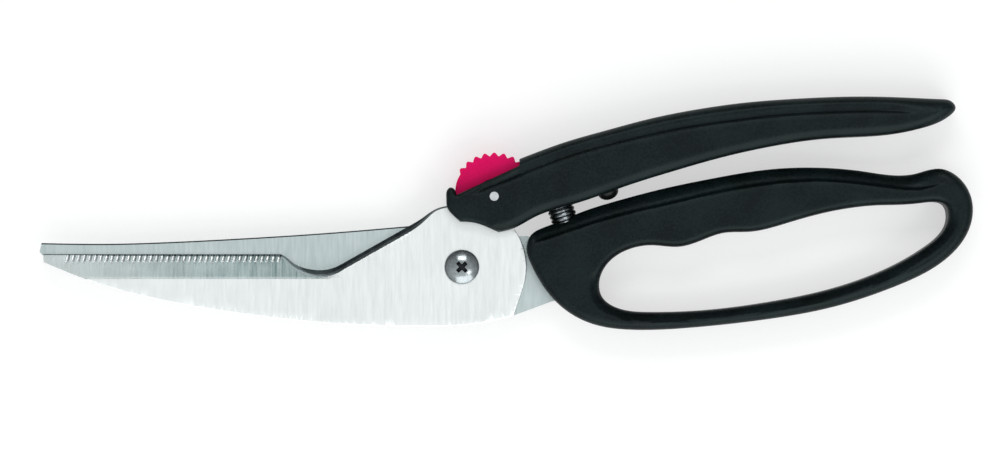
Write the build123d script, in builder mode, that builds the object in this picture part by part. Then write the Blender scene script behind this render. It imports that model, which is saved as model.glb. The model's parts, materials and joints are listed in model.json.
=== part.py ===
from build123d import *

import os
from math import cos, radians, sin

# Poultry shears with a lock and an opening spring, closed, lying flat on a table.
# Millimetres. +Z is up from the table, +X runs from the blade tips to the handle ends, +Y is the side of
# the upper handle. The origin is on the table under the middle of the shears.
# Outlines are drawn about the pivot, and level(), section() and along() put them in place.

os.makedirs("parts", exist_ok=True)

# ---- driving dimensions ----
PIVOT_X, PIVOT_Y = -11.75, -14.4
HANDLE_T = 14.0  # thickness of both handles
MID = HANDLE_T / 2  # plane where the two halves of each handle meet
BLADE_T = 2.5
REAR_BLADE_Z = 4.35
FRONT_BLADE_Z = 7.1
SHIM_T = 0.2
FIT = 0.05  # radial running clearance on the pivot and the lock's pin

SCREW_R = 2.5  # shank that both blades turn on
SCREW_HEAD_R = 4.65
SCREW_HEAD_RIM = 0.55
SCREW_HEAD_DOME = 1.5
CROSS_LENGTH, CROSS_W, CROSS_FLOOR = 3.4, 0.8, 0.4  # the head's cross recess, its floor above the blade
THREAD_R, THREAD_END_Z = 2.0, 1.2
NUT_ACROSS_FLATS = 8.0
NUT_T = 2.2
SPRING_WASHER_T, WASHER_R, WASHER_SLIT = 0.6, 4.3, 0.7
SHIM_R = 6.0

BAND_STEP = 0.4  # the back band of each handle lies this much below its flat panel
EDGE_ROUND = 0.6

PIN_X, PIN_Y = 8.66, 18.9  # the lock's pin
PIN_R, PIN_RECESS = 1.2, 0.2
HUB_R = 4.6
LEVER_Z, LEVER_T = 4.4, 2.35  # hook and hub, level with the rear blade
THUMB_Z, THUMB_T = 3.6, 6.8  # the wide toothed rim under the thumb
RIM_TIP_R, RIM_ROOT_R, RIM_INNER_R = 11.7, 10.8, 4.75
RIM_START, RIM_PLAIN, RIM_END = 38, 146, 178  # the rim's ends and the end of its teeth, in degrees
RIM_PLAIN_R, RIM_END_R = 10.7, 10.35
TOOTH_PITCH = 12.8  # degrees
TOOTH_TIP, TOOTH_ROOT = 2.0, 5.9  # half widths of a tooth, in degrees
TOOTH_CROWN = 0.15
FIRST_TOOTH, TOOTH_COUNT = 51.6, 8
SLOT_START, SLOT_END, SLOT_ROOM = 34, 200.5, 0.4  # the rim's slot in the handle and its radial room
SIDE_ROOM = 0.3  # beside the lever, on either face
HOOK_ANGLE, HOOK_REACH, HOOK_W = 205.0, 10.5, 2.4
LOCK_TURN = 20.0  # degrees from open to locked
DETENT_R, DETENT_ANGLE = 3.3, 290.0
BALL_R, BALL_Z, DETENT_LOW = 0.9, 3.85, 1.2
TRACK_W, TRACK_DEPTH = 2.1, 0.55  # the ball's groove in the lever
HEEL_SWEEP_R = 16.2  # what the rear blade's back clears as the shears open

SPRING_X, SPRING_Y, SPRING_LEAN = 27.1, 13.8, 20.0
SPRING_R, SPRING_WIRE = 3.65, 1.15
SPRING_LOW, SPRING_HIGH = -13.0, 4.4  # ends, measured along its axis
SEAT_T, SEAT_R, SEAT_POST_R, SEAT_POST = 1.2, 3.85, 2.1, 3.0
POCKET_R = 4.15

EDGE_Y = 3.4  # the front blade's cutting edge
TIP_X = -114.0  # just beyond the tips
GRIND_END_X = -40.0  # the front blade's ground zone runs from the tip to here
GRIND_W, EDGE_LEFT = 6.55, 0.45  # the zone's width, and the thickness left at the cutting edge
REAR_GRIND_W, REAR_GRIND_LENGTH = 3.0, 75.0
SERRATION_PITCH, SERRATION_COUNT, SERRATION_LENGTH = 1.49, 39, 1.7
FIRST_SERRATION_X = -105.85
SERRATION_R, SERRATION_CUT = 0.5, 3.0
SERRATION_Z = FRONT_BLADE_Z + EDGE_LEFT + SERRATION_LENGTH * (BLADE_T - EDGE_LEFT) / GRIND_W + 0.2

BUMPER_X, BUMPER_Y, BUMPER_LEAN = 39.2, 20.1, 19.0
BUMPER_R, BUMPER_OUT, BUMPER_STEM_R, BUMPER_STEM = 2.8, 2.1, 1.4, 4.0
BUMPER_GAP, BUMPER_ROUND = 0.35, 1.65

UPRIGHT = (Align.CENTER, Align.CENTER, Align.MIN)  # a body stands on its plane


def level(z):
    """The table's plane, raised by z, with its origin on the pivot."""
    return Plane(origin=(PIVOT_X, PIVOT_Y, z))


def section(x, y, dx=1.0, dy=0.0):
    """An upright plane through a point, seen along (dx, dy), with its second axis up."""
    return Plane(origin=(PIVOT_X + x, PIVOT_Y + y, 0), x_dir=(-dy, dx, 0), z_dir=(dx, dy, 0))


def place(x, y, z):
    """A point about the pivot, z above the table."""
    return level(z).from_local_coords((x, y, 0))


def along(x, y, lean, distance):
    """A plane square to a direction that leans back from +Y by lean degrees, at mid thickness."""
    ux, uy = -sin(radians(lean)), cos(radians(lean))
    middle = (PIVOT_X + x + distance * ux, PIVOT_Y + y + distance * uy, MID)
    return Plane(origin=middle, x_dir=(0, 0, 1), z_dir=(ux, uy, 0))


def polar(radius, angle):
    """A point about the lock's pin."""
    return PIN_X + radius * cos(radians(angle)), PIN_Y + radius * sin(radians(angle))


# ---- outlines, about the pivot ----
with BuildSketch() as upper_outline:
    with BuildLine():
        ThreePointArc((-0.4, 12.1), (4.9, 11.3), (9.8, 9.3))
        Spline(
            (9.8, 9.3), (13.2, 10.1), (19.2, 13.2), (30.8, 17.1), (43.5, 21.5), (56.5, 25.6),
            (69.5, 29.3), (82.5, 32.2), (98.0, 34.4), (114.9, 35.5), (124.0, 37.4), (131.0, 40.8),
        )
        ThreePointArc((131.0, 40.8), (131.6, 43.6), (128.6, 44.9))
        Spline(
            (128.6, 44.9), (121.4, 45.2), (108.5, 45.6), (89.0, 45.0), (76.0, 44.0), (63.0, 42.2),
            (50.0, 39.6), (38.0, 36.4), (28.2, 33.6), (15.4, 28.9),
        )
        Polyline((15.4, 28.9), (15.4, 27.1), (-1.4, 19.3))
        Spline((-1.4, 19.3), (-2.1, 20.9), (-3.2, 21.3), (-4.0, 20.2))
        Spline((-4.0, 20.2), (-4.15, 18.0), (-4.0, 16.2), (-2.3, 13.8), (-0.4, 12.1))
    make_face()

with BuildSketch() as upper_back_band:
    with BuildLine():
        Polyline((127.5, 40.6), (136.0, 42.0), (136.0, 52.0), (8.0, 52.0), (8.0, 21.6))
        Spline(
            (8.0, 21.6), (16.0, 24.4), (23.9, 27.6), (37.9, 31.9), (53.6, 35.8), (70.0, 38.4),
            (90.9, 40.6), (103.0, 41.1), (116.0, 41.1), (127.5, 40.6),
        )
    make_face()

with BuildSketch() as loop_outer:
    with BuildLine():
        Spline(
            (17.3, 4.6), (18.5, 8.5), (23.0, 11.0), (32.0, 14.7), (41.8, 17.8), (54.0, 21.0), (67.0, 23.7),
            (82.0, 26.1), (95.0, 26.6), (107.4, 25.6), (117.0, 24.5), (122.0, 25.1), (127.5, 26.3),
            (132.8, 23.9), (136.4, 17.3), (135.5, 10.0), (129.9, 2.6), (115.5, -5.3), (99.1, -10.7),
            (82.0, -13.9), (62.5, -16.1), (46.3, -16.8), (34.0, -14.9), (25.8, -9.9), (20.9, -3.8),
            (18.3, 1.2),
            periodic=True,
        )
    make_face()

with BuildSketch() as loop_hole:
    with BuildLine():
        Spline(
            (36.7, -5.0), (37.7, -0.9), (40.2, 2.2), (44.3, 4.6), (51.0, 5.8), (57.8, 5.4), (63.0, 6.7),
            (70.0, 9.1), (76.7, 9.4), (86.8, 11.7), (97.0, 14.5), (111.5, 16.5), (122.0, 17.0),
            (129.3, 16.2), (129.9, 12.8), (123.8, 5.2), (113.5, -0.6), (99.1, -5.8), (82.7, -9.3),
            (66.0, -11.5), (50.0, -12.1), (41.0, -10.7), (37.4, -7.8),
            periodic=True,
        )
    make_face()

with BuildSketch() as loop_outline:
    add(loop_outer.sketch)
    add(loop_hole.sketch, mode=Mode.SUBTRACT)

with BuildSketch() as loop_back_band:
    with BuildLine():
        Spline(
            (14.0, 4.2), (19.3, 6.1), (27.9, 9.1), (44.3, 14.1), (56.6, 16.9), (70.0, 20.0), (82.5, 22.0),
            (94.0, 22.8), (105.5, 22.0), (116.0, 20.7), (121.5, 20.5), (128.0, 21.9), (135.0, 24.0),
        )
        Polyline((135.0, 24.0), (138.0, 34.0), (10.0, 34.0), (14.0, 4.2))
    make_face()

with BuildSketch() as front_blade_outline:
    with BuildLine():
        Line((-112.0, 1.3), (-112.2, EDGE_Y))
        Line((-112.2, EDGE_Y), (-48.9, EDGE_Y))
        Spline(
            (-48.9, EDGE_Y), (-47.3, 2.75), (-45.0, 0.95), (-42.5, -0.2), (-38.3, -0.85), (-35.2, -0.5),
            (-32.5, 0.6), tangents=[(1, 0), (0.87, 0.49)],
        )
        Line((-32.5, 0.6), (-14.0, 11.05))
        Spline(
            (-14.0, 11.05), (-10.9, 12.9), (-8.7, 14.5), (-6.4, 15.75), (-3.7, 16.4),
            tangents=[(0.87, 0.49), (1, 0.1)],
        )
        Polyline((-3.7, 16.4), (-3.0, 15.3), (12.0, 15.3), (14.1, 10.0))
        RadiusArc((14.1, 10.0), (16.2, -6.1), -17.3)
        Line((16.2, -6.1), (13.8, -13.1))
        Spline(
            (13.8, -13.1), (3.6, -15.3), (-8.7, -15.9), (-27.1, -15.6), (-51.5, -13.6), (-65.8, -11.6),
            (-80.1, -9.0), (-94.5, -5.4), (-112.0, 1.3),
        )
    make_face()
    with BuildLine():
        Polyline(
            (6.0, 14.0), (13.6, 12.4), (17.8, 16.8), (21.0, 21.0), (27.5, 23.0), (48.0, 28.6),
            (48.0, 33.4), (27.5, 28.6), (21.0, 25.0), (12.4, 20.4), (6.0, 18.0),
            close=True,
        )
    make_face()
    with Locations((PIN_X, PIN_Y)):
        Circle(4.2)

with BuildSketch() as rear_blade_outline:
    with BuildLine():
        Spline((-112.7, 6.4), (-94.6, 6.2), (-80.1, 6.6), (-56.3, 7.8), (-35.0, 9.2), (-12.5, 11.1))
        Spline((-12.5, 11.1), (-9.5, 10.4), (-6.0, 8.25), tangents=[(1, 0.05), (0.8, -0.6)])
        RadiusArc((-6.0, 8.25), (6.3, 8.03), 10.2)
        Polyline((6.3, 8.03), (17.5, 8.3), (20.6, 7.2), (23.2, 7.0), (27.0, -2.8), (33.0, -3.8))
        Polyline((33.0, -3.8), (33.0, -10.2), (26.6, -8.6), (23.9, -9.3), (13.9, -13.0))
        Spline(
            (13.9, -13.0), (4.0, -13.6), (-10.0, -11.0), (-24.0, -6.6), (-37.6, -4.4),
            tangents=[(-1, -0.2), (-74.6, 7.3)],
        )
        Line((-37.6, -4.4), (-112.2, 2.9))
        Polyline((-112.2, 2.9), (-113.2, 4.0), (-112.7, 6.4))
    make_face()
    with BuildLine():
        Polyline((-2.3, 8.0), (-2.3, 12.0), (-1.8, 12.4), (-0.3, 12.4), (-0.3, 8.0), close=True)
    make_face()

with BuildSketch() as thumb_rim:
    with BuildLine():
        Line(polar(RIM_INNER_R, RIM_START), polar(RIM_ROOT_R, RIM_START))
        RadiusArc(polar(RIM_ROOT_R, RIM_START), polar(RIM_ROOT_R, RIM_PLAIN), -RIM_ROOT_R)
        Spline(polar(RIM_ROOT_R, RIM_PLAIN), polar(RIM_PLAIN_R, 163), polar(RIM_END_R, RIM_END))
        Line(polar(RIM_END_R, RIM_END), polar(RIM_INNER_R, RIM_END))
        RadiusArc(polar(RIM_INNER_R, RIM_END), polar(RIM_INNER_R, RIM_START), RIM_INNER_R)
    make_face()
    for number in range(TOOTH_COUNT):
        middle = FIRST_TOOTH + number * TOOTH_PITCH
        root_right = polar(RIM_ROOT_R, middle - TOOTH_ROOT)
        root_left = polar(RIM_ROOT_R, middle + TOOTH_ROOT)
        tip_right = polar(RIM_TIP_R - TOOTH_CROWN, middle - TOOTH_TIP)
        tip_left = polar(RIM_TIP_R - TOOTH_CROWN, middle + TOOTH_TIP)
        inner_right = polar(RIM_ROOT_R - 2 * TOOTH_CROWN, middle - TOOTH_ROOT)
        inner_left = polar(RIM_ROOT_R - 2 * TOOTH_CROWN, middle + TOOTH_ROOT)
        with BuildLine():
            Polyline(inner_right, root_right, tip_right)
            ThreePointArc(tip_right, polar(RIM_TIP_R, middle), tip_left)
            Polyline(tip_left, root_left, inner_left, inner_right)
        make_face()

# ---- places of the hidden fasteners ----
UPPER_SCREWS = [(57.0, 31.2), (82.0, 37.0), (112.0, 40.0)]
LOOP_SCREWS = [(46.5, 10.6), (91.0, 18.0), (126.0, 21.2)]
UPPER_TANG_PINS = [(28.5, 25.8), (42.0, 29.4)]
LOOP_TANG_PINS = [(22.6, 0.0), (29.8, -7.0)]
TANG_PIN_R, TANG_PIN_Z, TANG_PIN_LENGTH = 1.5, 2.4, 9.2
CASE_SCREW_R, CASE_SCREW_TOP = 1.25, 11.6
CASE_HEAD_R, CASE_HEAD_Z, CASE_HEAD_T = 2.6, 0.7, 1.6
CASE_CROSS_LENGTH, CASE_CROSS_W, CASE_CROSS_DEPTH = 2.8, 0.6, 0.9
HOLE_END = 0.4  # room past a screw's end

def edges_at(part, z):
    """The edges of a part that lie in the level plane z."""
    in_plane = ShapeList()
    for edge in part.edges():
        box = edge.bounding_box()
        if abs(box.min.Z - z) < 0.01 and abs(box.max.Z - z) < 0.01:
            in_plane.append(edge)
    return in_plane


# ---- handle blanks: the solid outer form of each handle's front half ----
with BuildPart() as upper_blank:
    with BuildSketch(level(MID)):
        add(upper_outline.sketch)
    extrude(amount=MID)
    fillet(edges_at(upper_blank, HANDLE_T), EDGE_ROUND)
    with BuildSketch(level(HANDLE_T - BAND_STEP)):
        add(upper_back_band.sketch)
    extrude(amount=2 * BAND_STEP, mode=Mode.SUBTRACT)

with BuildPart() as loop_blank:
    with BuildSketch(level(MID)):
        add(loop_outline.sketch)
    extrude(amount=MID)
    fillet(edges_at(loop_blank, HANDLE_T), EDGE_ROUND)
    with BuildSketch(level(HANDLE_T - BAND_STEP)):
        add(loop_back_band.sketch)
    extrude(amount=2 * BAND_STEP, mode=Mode.SUBTRACT)

# ---- hollows that both halves of a handle share ----
with BuildPart() as upper_spring_pocket:
    with BuildSketch(along(SPRING_X, SPRING_Y, SPRING_LEAN, 0)):
        Circle(POCKET_R)
    extrude(amount=SPRING_HIGH + SEAT_T)

with BuildPart() as lower_spring_pocket:
    with BuildSketch(along(SPRING_X, SPRING_Y, SPRING_LEAN, 0)):
        Circle(POCKET_R)
    extrude(amount=SPRING_LOW - SEAT_T)

with BuildPart() as bumper_socket:
    with BuildSketch(along(BUMPER_X, BUMPER_Y, BUMPER_LEAN, -1.0)):
        Circle(BUMPER_STEM_R)
    extrude(amount=BUMPER_STEM + 1.0)

with BuildPart() as thumb_slot:
    with BuildSketch(level(THUMB_Z - SIDE_ROOM)):
        outer = RIM_TIP_R + SLOT_ROOM
        inner = RIM_INNER_R - SLOT_ROOM
        with BuildLine():
            Line(polar(inner, SLOT_START), polar(outer, SLOT_START))
            RadiusArc(polar(outer, SLOT_START), polar(outer, 158), -outer)
            Spline(polar(outer, 158), polar(11.5, 172), polar(11.1, 186), polar(10.9, SLOT_END))
            Line(polar(10.9, SLOT_END), polar(inner, SLOT_END))
            RadiusArc(polar(inner, SLOT_END), polar(inner, SLOT_START), inner)
        make_face()
    extrude(amount=THUMB_T + 2 * SIDE_ROOM)

with BuildPart() as hook_room:
    with BuildSketch(level(LEVER_Z - SIDE_ROOM)):
        with Locations((PIN_X, PIN_Y)):
            Circle(RIM_ROOT_R + 0.5)
        Circle(HEEL_SWEEP_R)
    extrude(amount=MID - LEVER_Z + SIDE_ROOM)

with BuildPart() as front_blade_room:
    with BuildSketch(level(MID)):
        add(front_blade_outline.sketch)
    extrude(amount=FRONT_BLADE_Z + BLADE_T - MID)

with BuildPart() as rear_blade_room:
    with BuildSketch(level(REAR_BLADE_Z)):
        add(rear_blade_outline.sketch)
    extrude(amount=MID - REAR_BLADE_Z)


def pinned(points, radius, low, high):
    """Upright round holes in the part being built."""
    with Locations(*[place(x, y, low) for x, y in points]):
        Cylinder(radius, high - low, align=UPRIGHT, mode=Mode.SUBTRACT)


# ---- upper handle ----
with BuildPart() as upper_front_shell:
    add(upper_blank.part)
    add(front_blade_room.part, mode=Mode.SUBTRACT)
    add(thumb_slot.part, mode=Mode.SUBTRACT)
    add(upper_spring_pocket.part, mode=Mode.SUBTRACT)
    add(bumper_socket.part, mode=Mode.SUBTRACT)
    pinned(UPPER_TANG_PINS, TANG_PIN_R, MID, TANG_PIN_Z + TANG_PIN_LENGTH)
    pinned(UPPER_SCREWS, CASE_SCREW_R, MID, CASE_SCREW_TOP + HOLE_END)
    pinned([(PIN_X, PIN_Y)], PIN_R, MID, HANDLE_T)
upper_front_shell.part.label = "upper_front_shell"

with BuildPart() as upper_rear_shell:
    add(upper_blank.part.mirror(Plane.XY.offset(MID)))
    add(hook_room.part, mode=Mode.SUBTRACT)
    add(thumb_slot.part, mode=Mode.SUBTRACT)
    add(upper_spring_pocket.part, mode=Mode.SUBTRACT)
    add(bumper_socket.part, mode=Mode.SUBTRACT)
    pinned(UPPER_TANG_PINS, TANG_PIN_R, TANG_PIN_Z, MID)
    pinned(UPPER_SCREWS, CASE_SCREW_R, 0, MID)
    pinned(UPPER_SCREWS, CASE_HEAD_R, 0, CASE_HEAD_Z + CASE_HEAD_T)
    pinned([(PIN_X, PIN_Y)], PIN_R, 0, MID)
    pinned([polar(DETENT_R, DETENT_ANGLE)], BALL_R + FIT, DETENT_LOW, MID)
upper_rear_shell.part.label = "upper_rear_shell"

# ---- loop handle ----
with BuildPart() as loop_front_shell:
    add(loop_blank.part)
    add(lower_spring_pocket.part, mode=Mode.SUBTRACT)
    pinned(LOOP_TANG_PINS, TANG_PIN_R, MID, TANG_PIN_Z + TANG_PIN_LENGTH)
    pinned(LOOP_SCREWS, CASE_SCREW_R, MID, CASE_SCREW_TOP + HOLE_END)
loop_front_shell.part.label = "loop_front_shell"

with BuildPart() as loop_rear_shell:
    add(loop_blank.part.mirror(Plane.XY.offset(MID)))
    add(rear_blade_room.part, mode=Mode.SUBTRACT)
    add(lower_spring_pocket.part, mode=Mode.SUBTRACT)
    pinned(LOOP_TANG_PINS, TANG_PIN_R, TANG_PIN_Z, MID)
    pinned(LOOP_SCREWS, CASE_SCREW_R, 0, MID)
    pinned(LOOP_SCREWS, CASE_HEAD_R, 0, CASE_HEAD_Z + CASE_HEAD_T)
loop_rear_shell.part.label = "loop_rear_shell"

# ---- blades ----
with BuildPart() as front_blade:
    with BuildSketch(level(FRONT_BLADE_Z)):
        add(front_blade_outline.sketch)
    extrude(amount=BLADE_T)
    with BuildSketch(section(TIP_X, EDGE_Y)):
        face = FRONT_BLADE_Z + BLADE_T
        with BuildLine():
            Polyline((-GRIND_W, face), (0, FRONT_BLADE_Z + EDGE_LEFT), (1, FRONT_BLADE_Z))
            Polyline((1, FRONT_BLADE_Z), (1, face + 1), (-GRIND_W, face + 1), (-GRIND_W, face))
        make_face()
    extrude(amount=GRIND_END_X - TIP_X, mode=Mode.SUBTRACT)
    serrations = []
    for number in range(SERRATION_COUNT):
        serration_x = FIRST_SERRATION_X + number * SERRATION_PITCH
        start = place(serration_x, EDGE_Y - SERRATION_LENGTH, SERRATION_Z)
        serrations.append(Plane(origin=start, z_dir=(0, GRIND_W, EDGE_LEFT - BLADE_T)))
    with Locations(*serrations):
        Cylinder(SERRATION_R, SERRATION_CUT, align=UPRIGHT, mode=Mode.SUBTRACT)
    pinned([(0, 0)], SCREW_R + FIT, FRONT_BLADE_Z, FRONT_BLADE_Z + BLADE_T)
    pinned([(PIN_X, PIN_Y)], PIN_R, FRONT_BLADE_Z, FRONT_BLADE_Z + BLADE_T)
    pinned(UPPER_TANG_PINS, TANG_PIN_R, FRONT_BLADE_Z, FRONT_BLADE_Z + BLADE_T)
front_blade.part.label = "front_blade"

with BuildPart() as rear_blade:
    with BuildSketch(level(REAR_BLADE_Z)):
        add(rear_blade_outline.sketch)
    extrude(amount=BLADE_T)
    with BuildSketch(section(-112.2, 2.9, 0.9952, -0.0974)):
        back = REAR_BLADE_Z
        edge_z = REAR_BLADE_Z + BLADE_T - EDGE_LEFT
        with BuildLine():
            Polyline((REAR_GRIND_W, back), (0, edge_z), (-1, edge_z + 0.3), (-1, back - 1))
            Polyline((-1, back - 1), (REAR_GRIND_W, back - 1), (REAR_GRIND_W, back))
        make_face()
    extrude(amount=REAR_GRIND_LENGTH, mode=Mode.SUBTRACT)
    pinned([(0, 0)], SCREW_R, REAR_BLADE_Z, REAR_BLADE_Z + BLADE_T)
    pinned(LOOP_TANG_PINS, TANG_PIN_R, REAR_BLADE_Z, REAR_BLADE_Z + BLADE_T)
rear_blade.part.label = "rear_blade"

# ---- pivot ----
with BuildPart() as pivot_screw:
    head_z = FRONT_BLADE_Z + BLADE_T + FIT
    dome_z = head_z + SCREW_HEAD_RIM
    top_z = dome_z + SCREW_HEAD_DOME
    with BuildSketch(section(0, 0, 0.0, -1.0)):
        with BuildLine():
            Polyline((0, THREAD_END_Z), (THREAD_R, THREAD_END_Z), (THREAD_R, REAR_BLADE_Z))
            Polyline((THREAD_R, REAR_BLADE_Z), (SCREW_R, REAR_BLADE_Z), (SCREW_R, head_z))
            Polyline((SCREW_R, head_z), (SCREW_HEAD_R, head_z), (SCREW_HEAD_R, dome_z))
            Spline((SCREW_HEAD_R, dome_z), (0, top_z), tangents=[(-0.5, 1), (-1, 0)])
            Line((0, top_z), (0, THREAD_END_Z))
        make_face()
    revolve(axis=Axis(place(0, 0, 0), (0, 0, 1)))
    with BuildSketch(level(head_z + CROSS_FLOOR)):
        Rectangle(CROSS_LENGTH, CROSS_W, rotation=45)
        Rectangle(CROSS_LENGTH, CROSS_W, rotation=-45)
    extrude(amount=top_z - head_z, mode=Mode.SUBTRACT)
pivot_screw.part.label = "pivot_screw"

with BuildPart() as shim_washer:
    with BuildSketch(level(REAR_BLADE_Z + BLADE_T)):
        Circle(SHIM_R)
        Circle(SCREW_R, mode=Mode.SUBTRACT)
    extrude(amount=SHIM_T)
shim_washer.part.label = "shim_washer"

with BuildPart() as spring_washer:
    with BuildSketch(level(REAR_BLADE_Z - SPRING_WASHER_T)):
        Circle(WASHER_R)
        Circle(THREAD_R, mode=Mode.SUBTRACT)
        with Locations((WASHER_R, 0)):
            Rectangle(WASHER_R + THREAD_R, WASHER_SLIT, mode=Mode.SUBTRACT)
    extrude(amount=SPRING_WASHER_T)
spring_washer.part.label = "spring_washer"

with BuildPart() as pivot_nut:
    with BuildSketch(level(REAR_BLADE_Z - SPRING_WASHER_T - NUT_T)):
        RegularPolygon(NUT_ACROSS_FLATS / 2, 6, major_radius=False)
        Circle(THREAD_R, mode=Mode.SUBTRACT)
    extrude(amount=NUT_T)
pivot_nut.part.label = "pivot_nut"

# ---- lock ----
with BuildLine() as detent_track:
    CenterArc((PIN_X, PIN_Y), DETENT_R, DETENT_ANGLE - LOCK_TURN, LOCK_TURN)

with BuildPart() as lock_lever:
    web_r = RIM_INNER_R + 0.5
    with BuildSketch(level(LEVER_Z)):
        with Locations((PIN_X, PIN_Y)):
            Circle(HUB_R)
        with BuildLine():
            Line((PIN_X, PIN_Y), polar(web_r, RIM_START))
            RadiusArc(polar(web_r, RIM_START), polar(web_r, RIM_END), -web_r)
            Line(polar(web_r, RIM_END), (PIN_X, PIN_Y))
        make_face()
        with Locations((PIN_X, PIN_Y)):
            Rectangle(HOOK_REACH, HOOK_W, rotation=HOOK_ANGLE, align=(Align.MIN, Align.CENTER))
    extrude(amount=LEVER_T)
    with BuildSketch(level(THUMB_Z)):
        add(thumb_rim.sketch)
    extrude(amount=THUMB_T)
    with BuildSketch(level(LEVER_Z)):
        SlotArc(detent_track.edges()[0], TRACK_W)
    extrude(amount=TRACK_DEPTH, mode=Mode.SUBTRACT)
    pinned([(PIN_X, PIN_Y)], PIN_R + FIT, 0, HANDLE_T)
lock_lever.part.label = "lock_lever"

with BuildPart() as lock_pin:
    with Locations(place(PIN_X, PIN_Y, PIN_RECESS)):
        Cylinder(PIN_R, HANDLE_T - 2 * PIN_RECESS, align=UPRIGHT)
lock_pin.part.label = "lock_pin"

with BuildPart() as detent_ball:
    with Locations(place(*polar(DETENT_R, DETENT_ANGLE), BALL_Z)):
        Sphere(BALL_R)
detent_ball.part.label = "detent_ball"

with BuildPart() as detent_spring:
    with BuildSketch(level(DETENT_LOW)):
        with Locations(polar(DETENT_R, DETENT_ANGLE)):
            Circle(BALL_R - 0.1)
            Circle(BALL_R - 0.4, mode=Mode.SUBTRACT)
    extrude(amount=BALL_Z - BALL_R - DETENT_LOW)
detent_spring.part.label = "detent_spring"

# ---- opening spring ----
with BuildPart() as opening_spring:
    with BuildSketch(along(SPRING_X, SPRING_Y, SPRING_LEAN, SPRING_LOW)):
        Circle(SPRING_R)
        Circle(SPRING_R - SPRING_WIRE, mode=Mode.SUBTRACT)
    extrude(amount=SPRING_HIGH - SPRING_LOW)
opening_spring.part.label = "opening_spring"

with BuildPart() as lower_spring_seat:
    with BuildSketch(along(SPRING_X, SPRING_Y, SPRING_LEAN, SPRING_LOW - SEAT_T)):
        Circle(SEAT_R)
    extrude(amount=SEAT_T)
    with BuildSketch(along(SPRING_X, SPRING_Y, SPRING_LEAN, SPRING_LOW)):
        Circle(SEAT_POST_R)
    extrude(amount=SEAT_POST)
lower_spring_seat.part.label = "lower_spring_seat"

with BuildPart() as upper_spring_seat:
    with BuildSketch(along(SPRING_X, SPRING_Y, SPRING_LEAN, SPRING_HIGH)):
        Circle(SEAT_R)
    extrude(amount=SEAT_T)
    with BuildSketch(along(SPRING_X, SPRING_Y, SPRING_LEAN, SPRING_HIGH)):
        Circle(SEAT_POST_R)
    extrude(amount=-SEAT_POST)
upper_spring_seat.part.label = "upper_spring_seat"

# ---- stop between the handles ----
with BuildPart() as stop_bumper:
    with BuildSketch(along(BUMPER_X, BUMPER_Y, BUMPER_LEAN, -BUMPER_OUT)):
        Circle(BUMPER_R)
    extrude(amount=BUMPER_OUT - BUMPER_GAP)
    fillet(stop_bumper.edges().group_by(Axis.Y)[0], BUMPER_ROUND)
    with BuildSketch(along(BUMPER_X, BUMPER_Y, BUMPER_LEAN, -BUMPER_GAP)):
        Circle(BUMPER_STEM_R)
    extrude(amount=BUMPER_STEM)
stop_bumper.part.label = "stop_bumper"


# ---- fasteners hidden in the handles ----
def tang_pins(points):
    """Plain pins through a tang and both halves of its handle."""
    with Locations(*[place(x, y, TANG_PIN_Z) for x, y in points]):
        Cylinder(TANG_PIN_R, TANG_PIN_LENGTH, align=UPRIGHT)


def case_screws(points):
    """Screws with a flat, cross-recessed head, driven from the rear face."""
    with Locations(*[place(x, y, CASE_HEAD_Z) for x, y in points]):
        Cylinder(CASE_HEAD_R, CASE_HEAD_T, align=UPRIGHT)
        Cylinder(CASE_SCREW_R, CASE_SCREW_TOP - CASE_HEAD_Z, align=UPRIGHT)
        Box(CASE_CROSS_LENGTH, CASE_CROSS_W, CASE_CROSS_DEPTH, align=UPRIGHT, mode=Mode.SUBTRACT)
        Box(CASE_CROSS_W, CASE_CROSS_LENGTH, CASE_CROSS_DEPTH, align=UPRIGHT, mode=Mode.SUBTRACT)


with BuildPart() as upper_tang_pins:
    tang_pins(UPPER_TANG_PINS)
upper_tang_pins.part.label = "upper_tang_pins"

with BuildPart() as loop_tang_pins:
    tang_pins(LOOP_TANG_PINS)
loop_tang_pins.part.label = "loop_tang_pins"

with BuildPart() as upper_case_screws:
    case_screws(UPPER_SCREWS)
upper_case_screws.part.label = "upper_case_screws"

with BuildPart() as loop_case_screws:
    case_screws(LOOP_SCREWS)
loop_case_screws.part.label = "loop_case_screws"

PIECES = (
    front_blade, rear_blade, pivot_screw, pivot_nut, spring_washer, shim_washer,
    upper_front_shell, upper_rear_shell, loop_front_shell, loop_rear_shell,
    upper_tang_pins, loop_tang_pins, upper_case_screws, loop_case_screws,
    lock_lever, lock_pin, detent_ball, detent_spring,
    opening_spring, upper_spring_seat, lower_spring_seat, stop_bumper,
)
for piece in PIECES:
    export_step(piece.part, f"parts/{piece.part.label}.step")
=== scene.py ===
import json
import math

import bmesh
import bpy
import numpy as np
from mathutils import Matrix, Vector, geometry


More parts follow.
